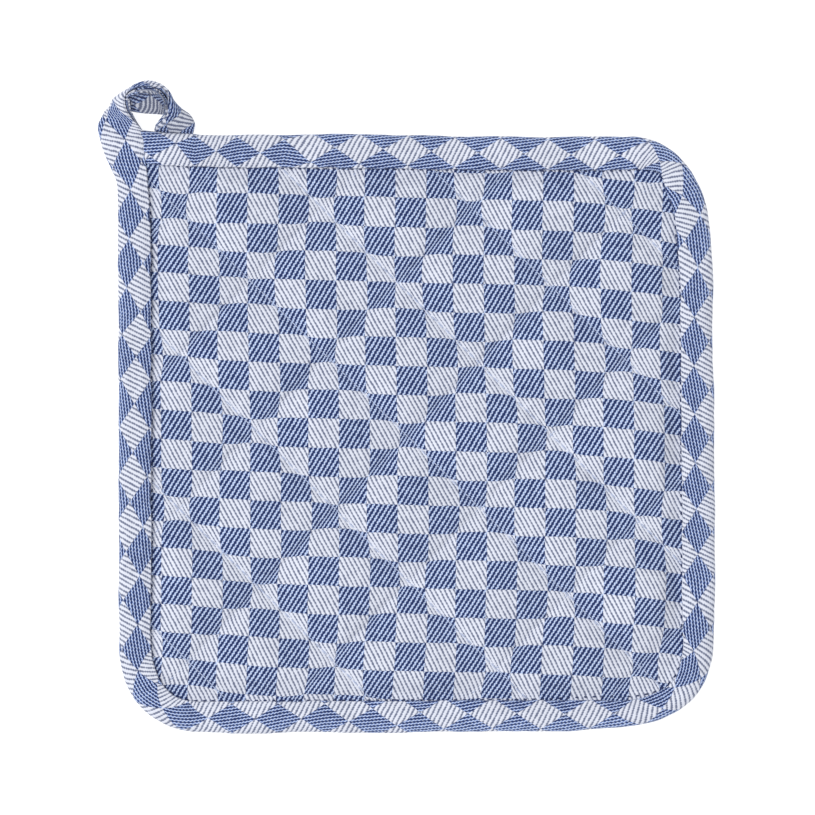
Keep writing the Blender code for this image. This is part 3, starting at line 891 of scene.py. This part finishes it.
def edge_stitches():
    """Stitches in the ditch beside the binding's lip."""
    rows = binding_rows()
    lip, fold = rows[:, 0:2], rows[:, 3:5]
    out_of_lip = bell(lip[:, 0] - OUT_X, OUT_REACH) * (lip[:, 1] < OUT_BELOW)
    path = lip + unit(lip - fold) * (EDGE_STITCH_IN + EDGE_STITCH_OUT * out_of_lip)[:, None]
    run = run_along(path)
    at = np.arange(EDGE_STITCHES_FROM, run[-1] - EDGE_STITCHES_END, STITCH_PITCH)
    here, ahead = (np.stack([np.interp(place, run, path[:, axis]) for axis in (0, 1)], -1)
                   for place in (at, at + STEP_AHEAD))
    x, y = here.T
    inside = distance_inside(x, y, closed_edge(0.0))
    return list(np.stack((x, y, pad_top(x, y, inside)), -1)), list(unit(ahead - here))


def make_thread(name, families, size, rise):
    """One piece of all the stitches of some seams."""
    points, faces = [], []
    for starts, ways in families:
        more, rings = stitch_row(starts, ways, rise, size)
        faces += [tuple(index + len(points) for index in face) for face in rings]
        points += more
    return cloth_object(name, np.array(points), faces)


# ---- cotton --------------------------------------------------

def linear(hex_colour):
    """A linear colour from an sRGB hex value."""
    channels = [int(hex_colour[i:i + 2], 16) / 255 for i in (1, 3, 5)]
    return tuple(c / 12.92 if c <= 0.04045 else ((c + 0.055) / 1.055) ** 2.4
                 for c in channels) + (1.0,)


def add(tree, kind, inputs=(), output=0, **settings):
    """Add a node with its settings; inputs are values or sockets, by place or as {place: input}."""
    node = tree.nodes.new("ShaderNode" + kind)
    for name, value in settings.items():
        setattr(node, name, value)
    pairs = inputs.items() if isinstance(inputs, dict) else enumerate(inputs)
    for place, value in pairs:
        if isinstance(value, bpy.types.NodeSocket):
            tree.links.new(value, node.inputs[place])
        elif value is not None:
            node.inputs[place].default_value = value
    return node.outputs[output]


def new_material(name, roughness=None):
    """A material with its tree and shader."""
    material = bpy.data.materials.new(name)
    material.use_nodes = True
    shader = material.node_tree.nodes["Principled BSDF"]
    if roughness is not None:
        shader.inputs["Roughness"].default_value = roughness
    return material, material.node_tree, shader


# Millimetres from one twill ridge to the next, and from one bead on its yarns to the next. A bead
# stands for a few real threads, which are too fine to show.
RIDGE_PITCH, BEAD_PITCH = 1.353, 1.05
# The way across the ridges differs in the two kinds of block.
WHITE_ACROSS, BLUE_ACROSS = (0.875, 0.485), (0.86, -0.51)
# The yarns wander this far, in millimetres, over noise of this scale for each millimetre.
YARN_WANDER, WANDER_SCALE = 0.40, 0.45
# How far the dark yarn's width steps in and out with its beads, and varies from place to place.
BEAD_STEP, YARN_VARIES, VARIES_SCALE = 0.26, 1.7, 0.5
# How far pulling thins the pale blocks' dark yarns, tautness parts the navy ones, and crowding
# darkens the cloth with painted shade.
PULL_THINS, TAUT_PARTS, CROWD_PAINTED_SHADE = -0.75, -0.40, 0.22
PALE_YARN, SLATE_YARN = "#D8DCE9", "#636B86"
NAVY_YARN = "#052158"
# What lies between the navy yarns. Drawn tight on the bias, the strip shows more of the blue.
FLAT_GAPS, BIAS_GAPS = ("#8CA3D2", "#C8D6EF"), ("#6480C0", "#C4D3F0")
# Heights of the ridges' wave between which a dark yarn begins and is whole: thin yarns in the pale
# blocks and broad ones in the blue. The gaps between these are brightest where they are widest.
THIN_YARN, BROAD_YARN, GAP_SHINE = (-0.45, 1.1), (-0.90, 0.40), (0.6, -0.6)
# Noise lies mostly between these. Washing has left the cloth this uneven in shade.
NOISE_LOW, NOISE_HIGH = 0.3, 0.7
WORN_SCALE, WORN_SHADES = 0.06, (0.94, 1.04)
# Matt, and most matt on the dark yarns, with the faint sheen of cotton's fine hairs.
COTTON_ROUGHNESS, SHEEN, SHEEN_ROUGHNESS = (0.86, 0.95), 0.12, 0.6
# The ridges stand up between the dark yarns and swell a little with each bead, by these shares of
# the relief's height in millimetres.
RIDGE_RELIEF, BEAD_RELIEF, RELIEF_STRENGTH, RELIEF_HIGH = -0.5, 0.10, 0.55, 0.22


def checked_cotton(name, gaps):
    """Yarn-dyed cotton: a matt cloth of coarse twill blocks, pale ones and navy ones in turn,
    darkened with painted shade where the cloth crowds.
    """
    material, tree, shader = new_material(name)
    flat = add(tree, "UVMap", uv_map="weave")
    # Yarns wander a little, so block edges and ridges aren't ruled lines.
    wander = add(tree, "TexNoise", {"Vector": flat, "Scale": WANDER_SCALE, "Detail": 2.0}, output=1)
    wander = add(tree, "VectorMath", [wander, (0.5, 0.5, 0.5)], operation="SUBTRACT")
    wander = add(tree, "VectorMath", {0: wander, 3: YARN_WANDER}, operation="SCALE")
    cloth = add(tree, "VectorMath", [flat, wander], operation="ADD")
    blocks = add(tree, "VectorMath", [cloth, (BLOCK_WIDE, BLOCK_HIGH, 1.0)], operation="DIVIDE")
    blocks = add(tree, "VectorMath", [blocks], operation="FLOOR")
    count = add(tree, "VectorMath", [blocks, (1.0, 1.0, 0.0)], output=1, operation="DOT_PRODUCT")
    white = add(tree, "Math", [count, 2.0], operation="FLOORED_MODULO")

    # Across the ridges, counted in ridges, and along them, counted in beads.
    counted = []
    for turned, pitch in ((False, RIDGE_PITCH), (True, BEAD_PITCH)):
        blue, pale = (
            add(tree, "VectorMath", [cloth, (-y / pitch, x / pitch, 0.0) if turned
                                     else (x / pitch, y / pitch, 0.0)],
                output=1, operation="DOT_PRODUCT")
            for x, y in (BLUE_ACROSS, WHITE_ACROSS))
        counted.append(add(tree, "Mix", {0: white, 2: blue, 3: pale}))
    ridge, bead = counted
    # Beads of neighbouring ridges stand half a bead apart.
    row = add(tree, "Math", [ridge, 0.5], operation="ADD")
    row = add(tree, "Math", [row], operation="FLOOR")
    offset = add(tree, "Math", [row, 0.5], operation="MULTIPLY")
    bead = add(tree, "Math", [bead, offset], operation="ADD")
    ridge = add(tree, "Math", [ridge, 2 * math.pi], operation="MULTIPLY")
    bead = add(tree, "Math", [bead, 2 * math.pi], operation="MULTIPLY")
    valley = add(tree, "Math", [ridge], operation="COSINE")
    speck = add(tree, "Math", [bead], operation="COSINE")

    # The dark yarn's width steps in and out with the beads.
    edge = add(tree, "Math", [speck, BEAD_STEP, valley], operation="MULTIPLY_ADD")
    uneven = add(tree, "TexNoise", {"Vector": flat, "Scale": VARIES_SCALE, "Detail": 3.0})
    unsteady = add(tree, "Math", [uneven, YARN_VARIES, -YARN_VARIES / 2], operation="MULTIPLY_ADD")
    edge = add(tree, "Math", [edge, unsteady], operation="ADD")
    # In the pale blocks the dark yarns sink from sight where a seam has pulled the cloth in, and
    # close up where the cloth crowds.
    pulled = add(tree, "Attribute", output=2, attribute_name="pulled")
    sunk = add(tree, "Math", [pulled, PULL_THINS, edge], operation="MULTIPLY_ADD")
    thin = add(tree, "MapRange", [sunk, *THIN_YARN, 0.0, 1.0], interpolation_type="SMOOTHSTEP")
    # In the blue blocks the navy yarns part where the strip is drawn taut.
    taut = add(tree, "Attribute", output=2, attribute_name="taut")
    parted = add(tree, "Math", [taut, TAUT_PARTS, edge], operation="MULTIPLY_ADD")
    broad = add(tree, "MapRange", [parted, *BROAD_YARN, 0.0, 1.0], interpolation_type="SMOOTHSTEP")
    bright = add(tree, "MapRange", [speck, *GAP_SHINE, 0.0, 1.0])
    gap = add(tree, "Mix", {0: bright, 6: linear(gaps[0]), 7: linear(gaps[1])}, output=2,
              data_type="RGBA")
    blue_block = add(tree, "Mix", {0: broad, 6: gap, 7: linear(NAVY_YARN)}, output=2,
                     data_type="RGBA")
    white_block = add(tree, "Mix", {0: thin, 6: linear(PALE_YARN), 7: linear(SLATE_YARN)},
                      output=2, data_type="RGBA")
    colour = add(tree, "Mix", {0: white, 6: blue_block, 7: white_block}, output=2,
                 data_type="RGBA")
    worn_and_painted_shade = add(tree, "TexNoise", {"Vector": flat, "Scale": WORN_SCALE, "Detail": 3.0})
    worn_and_painted_shade = add(tree, "MapRange", [worn_and_painted_shade, NOISE_LOW, NOISE_HIGH, *WORN_SHADES])
    # Painted shade: where the cloth crowds, below 0, its colour is darkened.
    painted_shade_share = add(tree, "Math", [pulled, 0.0], operation="MINIMUM")
    worn_and_painted_shade = add(tree, "Math", [painted_shade_share, CROWD_PAINTED_SHADE, worn_and_painted_shade], operation="MULTIPLY_ADD")
    colour = add(tree, "VectorMath", {0: colour, 3: worn_and_painted_shade}, operation="SCALE")
    tree.links.new(colour, shader.inputs["Base Color"])
    rough = add(tree, "MapRange", [valley, -1.0, 1.0, *COTTON_ROUGHNESS])
    tree.links.new(rough, shader.inputs["Roughness"])
    relief = add(tree, "Math", [valley, RIDGE_RELIEF], operation="MULTIPLY")
    relief = add(tree, "Math", [speck, BEAD_RELIEF, relief], operation="MULTIPLY_ADD")
    bump = add(tree, "Bump", {"Strength": RELIEF_STRENGTH, "Distance": RELIEF_HIGH * MM,
                              "Height": relief})
    tree.links.new(bump, shader.inputs["Normal"])
    shader.inputs["Sheen Weight"].default_value = SHEEN
    shader.inputs["Sheen Roughness"].default_value = SHEEN_ROUGHNESS
    return material


# The thread's mottling as its plies turn, in spots of this many millimetres, and its shades.
TWIST_SPOT, TWIST_SHADES, THREAD_ROUGHNESS = 0.4, (0.82, 1.08), 0.8
# The edge thread's dark navy is partly its own colour and partly painted shade of the stitch holes
# beside the lip.
QUILTING_COLOUR, EDGE_THREAD_AND_HOLE_SHADE_COLOUR = "#AEBAD6", "#27345F"


def sewing_thread(name, hex_colour):
    """Spun cotton thread: two plies twisted together, matt, with a mottled shade."""
    material, tree, shader = new_material(name, THREAD_ROUGHNESS)
    place = add(tree, "TexCoord", output=3)
    twist = add(tree, "TexNoise", {"Vector": place, "Scale": 1 / (TWIST_SPOT * MM), "Detail": 2.0})
    shade = add(tree, "MapRange", [twist, NOISE_LOW, NOISE_HIGH, *TWIST_SHADES])
    colour = add(tree, "VectorMath", {0: linear(hex_colour)[:3], 3: shade}, operation="SCALE")
    tree.links.new(colour, shader.inputs["Base Color"])
    return material


# ---- table, light and camera ---------------------------------

# In metres. The light comes mostly from the left and above, with a weak one from the right front.
TABLE_WIDE, TABLE_COLOUR, TABLE_GLOW, TABLE_ROUGHNESS = 4.0, "#A0A0A0", 0.86, 0.9
ROOM_LIGHT = 0.57
AreaLight = namedtuple("AreaLight", "name place size watts")
LIGHTS = (AreaLight("key", (-1.98, 0.40, 3.50), 2.2, 123.0),
          AreaLight("fill", (1.1, -1.1, 0.57), 1.2, 3.6))
VIEW_WIDE = 0.273
VIEW_CENTRE = (0.0002, -0.0001)
CAMERA_HIGH, CLIP_NEAR, CLIP_FAR = 4.0, 0.1, 20.0
SENSOR = 36.0
WHITE = (1.0, 1.0, 1.0, 1.0)


def make_table():
    """Opal acrylic lit from below: plain white, with hardly any shadow on it."""
    bpy.ops.object.select_all(action="DESELECT")
    bpy.ops.mesh.primitive_plane_add(size=TABLE_WIDE, location=(0.0, 0.0, 0.0))
    table = bpy.context.object
    table.name = "white_table"
    material, _, shader = new_material("backlit_opal_acrylic", TABLE_ROUGHNESS)
    shader.inputs["Base Color"].default_value = linear(TABLE_COLOUR)
    shader.inputs["Emission Color"].default_value = WHITE
    shader.inputs["Emission Strength"].default_value = TABLE_GLOW
    table.data.materials.append(material)


def make_lights():
    """Soft studio light: an even room, a large key light from the left and a weak fill."""
    world = bpy.data.worlds.new("studio")
    bpy.context.scene.world = world
    world.use_nodes = True
    background = world.node_tree.nodes["Background"]
    background.inputs["Color"].default_value = WHITE
    background.inputs["Strength"].default_value = ROOM_LIGHT
    for name, place, size, watts in LIGHTS:
        data = bpy.data.lights.new(name, "AREA")
        data.energy, data.size = watts, size
        light = in_scene(name, data)
        light.location = place
        light.rotation_euler = Vector(place).to_track_quat("Z", "Y").to_euler()


def make_camera():
    """A long lens that looks straight down, as the photo does."""
    data = bpy.data.cameras.new("camera")
    data.sensor_width = SENSOR
    data.lens = SENSOR * CAMERA_HIGH / VIEW_WIDE
    data.clip_start, data.clip_end = CLIP_NEAR, CLIP_FAR
    camera = in_scene("camera", data)
    camera.location = (*VIEW_CENTRE, CAMERA_HIGH)
    bpy.context.scene.camera = camera


# ---- making the pot holder -----------------------------------

pad = make_pad()
binding, loop = make_strip()
for piece, node, finish, gaps in ((pad, "pad", "pad_cloth", FLAT_GAPS),
                                  (binding, "binding", "binding_cloth", BIAS_GAPS),
                                  (loop, "hanging_loop", "loop_cloth", BIAS_GAPS)):
    piece.data.materials.append(checked_cotton("cotton_" + finish, gaps))
    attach(piece, "root")
    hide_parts(node)

quilting = make_thread("quilting_thread", [quilt_stitches(*FALLING, FALLING_RISE),
                                           quilt_stitches(*RISING, RISING_RISE)],
                       QUILT_STITCH, 0.0)
edging = make_thread("edge_thread", [edge_stitches()], EDGE_STITCH, EDGE_RISE)
for piece, colour in ((quilting, QUILTING_COLOUR), (edging, EDGE_THREAD_AND_HOLE_SHADE_COLOUR)):
    piece.data.materials.append(sewing_thread(piece.name, colour))
    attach(piece, "root")

make_table()
make_lights()
make_camera()
bpy.context.scene.view_settings.view_transform = "Standard"
